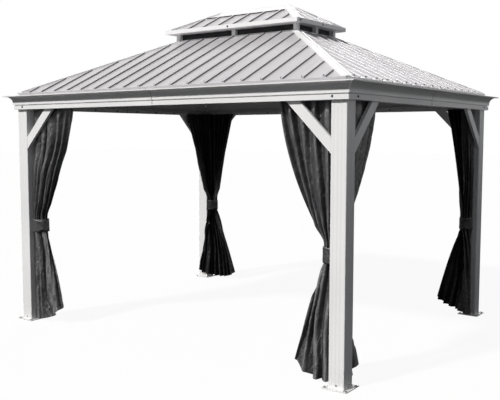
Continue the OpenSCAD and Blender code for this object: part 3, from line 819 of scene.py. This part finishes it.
def frameScrews():
    s = fixSet
    spots, ways = [], []
    low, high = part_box("upper_eave_frame")
    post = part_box("post_back_right")[1]
    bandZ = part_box("front_beam")[0][2] + s["bandUp"]
    for turn in sideTurns:
        long = turn % 2 == 0
        a, b = (0, 1) if long else (1, 0)
        for x in (0.0,) if long else (s["fasciaFromEnd"] - high[a], 0.0):  # upper fascia
            spots.append(turned((x, -high[b], (low[2] + high[2]) / 2), turn))
            ways.append(turned((0, -1, 0), turn))
        for x in (s["bandFromCorner"] - post[a], post[a] - s["bandFromCorner"]):  # beam's lower band
            spots.append(turned((x, -post[b] - s["bandOut"], bandZ), turn))
            ways.append(turned((0, -1, 0), turn))
        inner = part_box("back_beam")[0][1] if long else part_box("right_beam")[0][0]
        for k in range(s["rails"]):  # rail fixings inside the beam, clear of the gathered cloth
            x = (k - (s["rails"] - 1) / 2) * s["railStep"]
            spots.append(turned((x, -inner, bandZ - s["railDrop"]), turn))
            ways.append(turned((0, 1, 0), turn))
    return spots, ways


footSet = {"up": 0.022, "sunk": 0.0014}


def footScrews():
    spots, ways = [], []
    for corner in cornerSigns:
        low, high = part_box("post_" + corner)
        midX, midY, z = (low[0] + high[0]) / 2, (low[1] + high[1]) / 2, low[2] + footSet["up"]
        for spot, way in (((midX, low[1], z), (0, -1, 0)), ((midX, high[1], z), (0, 1, 0)),
                          ((low[0], midY, z), (-1, 0, 0)), ((high[0], midY, z), (1, 0, 0))):
            spots.append(Vector(spot) - footSet["sunk"] * Vector(way))
            ways.append(way)
    return spots, ways


def anchorBolts():
    spots, ways = [], []
    mmPerMetre = 1000
    for mount in frame["record"]["mounts"]:
        if mount["kind"] == "bolt_pattern":
            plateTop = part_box(mount["name"].replace("anchors_", "base_plate_"))[1][2]
            halfX = mount["dims"]["spacing_x_mm"] / mmPerMetre / 2
            halfY = mount["dims"]["spacing_y_mm"] / mmPerMetre / 2
            for sx in (-1, 1):
                for sy in (-1, 1):
                    spots.append((mount["pos_m"][0] + sx * halfX, mount["pos_m"][1] + sy * halfY, plateTop))
                    ways.append((0, 0, 1))
    return spots, ways


headTree = screwTree()
frameTrim = []
for name, (spots, ways), sizes, finish in (
        ("roof_screws", roofScrews(), screwSet, darkZinc),
        ("frame_screws", frameScrews(), screwSet, darkZinc),
        ("foot_screws", footScrews(), screwSet, zinc),
        ("anchor_bolts", anchorBolts(), anchorSet, zinc)):
    frameTrim.append(spreadPieces(name, headTree, spots, ways, sizes, finish))


# thin trim on the roof: a near-black band in the vent and dark strips under the ridge cap, both painted
# shade, and folded edges of the hip caps

ventSet = {"postWide": 0.038, "thick": 0.0015, "room": 0.0004}


def makeVentShade():  # near-black band behind the vent posts, from the ring to the upper eave: painted shade for the shaded vent
    v = ventSet
    low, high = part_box("vent_posts")
    face = v["postWide"] + v["room"]
    back = face + v["thick"]
    foot, top = low[2] + v["room"], high[2] - v["room"]
    vertices, faces = [], []
    for sx, sy in ((1, 1), (-1, 1), (-1, -1), (1, -1)):
        for depth, z in ((face, foot), (face, top), (back, top), (back, foot)):
            vertices.append((sx * (high[0] - depth), sy * (high[1] - depth), z))
    for c in range(4):
        d = (c + 1) % 4
        for k in range(4):
            e = (k + 1) % 4
            faces.append((4 * c + k, 4 * d + k, 4 * d + e, 4 * c + e))
    return addMesh("vent_shade_band", vertices, faces, shadeBandFinish)


shading = makeVentShade()
print("vent screen made")

upperSet = {"edgeInset": 0.0050, "eaveDrop": 0.0040, "ridgeHalf": 0.365}
hemSet = {"capWide": 0.040, "capThick": 0.003, "wide": 0.003, "tall": 0.008, "inset": 0.0003, "lift": 0.0001,
          "trim": 0.020, "footTrim": 0.005, "stop": 0.042}


def upperRoof():  # runs of the upper slopes in plan, and the height of their eave
    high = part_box("upper_eave_frame")[1]
    runX = high[0] - upperSet["edgeInset"] - upperSet["ridgeHalf"]
    return runX, high[1] - upperSet["edgeInset"], high[2] - upperSet["eaveDrop"]


def onSlope(turn, out, z, slope):  # places a point by its distance across, up and off a roof slope
    def put(x, s, n):
        y = s * math.cos(slope) - n * math.sin(slope) - out
        return turned((x, y, z + s * math.sin(slope) + n * math.cos(slope)), turn)
    return put


def hemStrip(put, eaveHalf, topHalf, length, upto, side):  # folded edge along one flange of a hip cap
    h = hemSet
    taper = (eaveHalf - topHalf) / length
    lean = math.hypot(1, taper)
    foot = eaveHalf - h["capWide"] * lean
    corners = []
    for s in (h["footTrim"], min(upto, foot / taper) - h["trim"]):
        for across, up in ((0, 0), (h["wide"], 0), (h["wide"], h["tall"]), (0, h["tall"])):
            reach = (h["inset"] + across) / lean
            corners.append(put(side * (foot - taper * s + reach), s + taper * reach,
                               h["capThick"] + h["lift"] + up))
    faces = [(0, 1, 2, 3), (7, 6, 5, 4)] + [(k, k + 4, (k + 1) % 4 + 4, (k + 1) % 4) for k in range(4)]
    return corners, faces if side > 0 else [f[::-1] for f in faces]


def makeCapHems():
    post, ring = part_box("post_back_right")[1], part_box("cupola_ring")[1]
    slope, ridge = roofSet["slope"], upperSet["ridgeHalf"]
    runX, runY, upperZ = upperRoof()
    stop = 1 - hemSet["stop"] * math.cos(slope) / runY
    vertices, faces = [], []
    for turn in sideTurns:
        long = turn % 2 == 0
        a, b = (0, 1) if long else (1, 0)
        length = (post[b] - ring[b]) / math.cos(slope)
        lower = (onSlope(turn, post[b], roofSet["eaveZ"], slope), post[a], ring[a], length, length)
        run, out = (runY, runY) if long else (runX, ridge + runX)
        halves = (ridge + runX, ridge) if long else (runY, 0)
        tilt = math.atan(runY * math.tan(slope) / run)
        length = run / math.cos(tilt)
        raised = (onSlope(turn, out, upperZ, tilt), *halves, length, stop * length)
        for strip in (lower, raised):
            for side in (-1, 1):
                corners, quads = hemStrip(*strip, side)
                faces += [tuple(len(vertices) + v for v in f) for f in quads]
                vertices += corners
    return addMesh("cap_hems", vertices, faces, whiteCoat)


frameTrim.append(makeCapHems())
print("cap hems made")

ridgeShadeSet = {"flange": 0.175, "gap": 0.002, "room": 0.0003, "tall": 0.009, "lift": 0.0001, "fromHip": 0.052}


def makeRidgeShade():  # dark strips in the gap between the ribs' ends and the ridge cap: painted shadow of that open gap
    c, slope = ridgeShadeSet, roofSet["slope"]
    runX, runY, upperZ = upperRoof()
    length = runY / math.cos(slope)
    end = upperSet["ridgeHalf"] + c["flange"] * runX / length - c["fromHip"] * math.hypot(1, runX / length)
    foot = length - c["flange"] - c["gap"] + c["room"]
    top = length - c["flange"] - c["room"]
    quads = [(3, 2, 1, 0), (4, 5, 6, 7)] + [(k, (k + 1) % 4, (k + 1) % 4 + 4, k + 4) for k in range(4)]
    vertices, faces = [], []
    for turn in sideTurns[::2]:  # front and back
        put = onSlope(turn, runY, upperZ, slope)
        faces += [tuple(len(vertices) + v for v in f) for f in quads]
        for x in (-end, end):
            for s, n in ((foot, c["lift"]), (top, c["lift"]), (top, c["tall"]), (foot, c["tall"])):
                vertices.append(put(x, s, n))
    return addMesh("ridge_shadow_strips", vertices, faces, shadeBandFinish)


shadows = makeRidgeShade()
print("ridge closures made")


# what rides on what

for corner in cornerSigns:
    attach(curtains[corner], "root")
    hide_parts("curtain_" + corner)
    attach(straps[corner], "root")
    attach(hookPieces[corner], "root")
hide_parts("curtain_ties")
for piece in frameTrim:
    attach(piece, "root")
for piece in (shading, shadows):
    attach(piece, "root")
print("pieces placed")


# floor, light and camera

lightSet = {
    "sunFrom": (-0.25, -0.75, 0.61), "sun": 3.3, "sunAngle": 5.0, "sunColour": (1.0, 0.985, 0.96),
    "fillFrom": (-0.52, 0.83, 0.18), "fill": 1.0, "fillAngle": 36.0, "fillColour": (0.96, 0.98, 1.0),
    "sky": 0.17, "skyColour": (0.93, 0.96, 1.0, 1), "white": (1, 1, 1, 1),
    "floorHalf": 60, "floor": (0.98, 0.98, 0.98), "bounce": (0.09, 0.09, 0.09), "floorWhite": 0.93,
}


def paleFloor():
    material = bpy.data.materials.new("pale_floor")
    material.use_nodes = True
    tree = material.node_tree
    tree.nodes.clear()
    wire = Wire(tree)
    white = wire.node("ShaderNodeEmission", None, {"Color": lightSet["white"], "Strength": 1.0})
    seen = wire.node("ShaderNodeLightPath", None, None, "Is Camera Ray")
    matte = wire.node("ShaderNodeBsdfDiffuse", None,
                      {"Color": mixColours(seen, lightSet["bounce"], lightSet["floor"])})
    both = wire.node("ShaderNodeMixShader", None, {0: lightSet["floorWhite"] * seen, 1: matte, 2: white})
    wire.node("ShaderNodeOutputMaterial", None, {"Surface": both})
    half = lightSet["floorHalf"]
    corners = [(-half, -half, 0), (half, -half, 0), (half, half, 0), (-half, half, 0)]
    addMesh("floor", corners, [(0, 1, 2, 3)], material)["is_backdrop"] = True


def softSky():
    world = bpy.data.worlds.new("studio")
    scene.world = world
    world.use_nodes = True
    tree = world.node_tree
    tree.nodes.clear()
    wire = Wire(tree)
    path = wire.node("ShaderNodeLightPath").socket.node
    seen, shiny, clear = (Wire(tree, path.outputs["Is " + kind + " Ray"])
                          for kind in ("Camera", "Glossy", "Transmission"))
    share = wire.maths("MINIMUM", seen + shiny + clear, 1.0)
    around = wire.node("ShaderNodeBackground", None,
                       {"Color": lightSet["skyColour"], "Strength": lightSet["sky"]})
    behind = wire.node("ShaderNodeBackground", None, {"Color": lightSet["white"], "Strength": 1.0})
    both = wire.node("ShaderNodeMixShader", None, {0: share, 1: around, 2: behind})
    wire.node("ShaderNodeOutputWorld", None, {"Surface": both})


def farLight(name):
    lamp = bpy.data.lights.new(name, "SUN")
    lamp.energy = lightSet[name]
    lamp.angle = math.radians(lightSet[name + "Angle"])
    lamp.color = lightSet[name + "Colour"]
    obj = bpy.data.objects.new(name, lamp)
    obj.rotation_euler = Vector(lightSet[name + "From"]).to_track_quat("Z", "Y").to_euler()
    scene.collection.objects.link(obj)


cameraSet = {
    "place": (4.009, -5.668, 1.720), "turn": 36.16, "tilt": -4.96,
    "focal": 739.78, "frame": (500, 400), "centre": (242.95, 198.96), "sensor": 36, "clipEnd": 200,
}


def photoCamera():
    c = cameraSet
    wide, tall = c["frame"]
    lens = bpy.data.cameras.new("photo")
    lens.sensor_width = c["sensor"]
    lens.lens = c["focal"] / wide * lens.sensor_width
    lens.shift_x = (wide / 2 - c["centre"][0]) / wide
    lens.shift_y = (c["centre"][1] - tall / 2) / wide
    lens.clip_end = c["clipEnd"]
    obj = bpy.data.objects.new("photo", lens)
    obj.location = c["place"]
    obj.rotation_euler = (math.radians(90 + c["tilt"]), 0, math.radians(c["turn"]))
    scene.collection.objects.link(obj)
    scene.camera = obj


paleFloor()
softSky()
farLight("sun")
farLight("fill")  # behind and to the left, for the sides that the photo doesn't show
photoCamera()
scene.view_settings.view_transform = "Standard"
print("stage set")

sizes = {"cad": [list(v) for v in cadBox], "visual": [list(v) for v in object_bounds()]}
print("sizes", sizes)
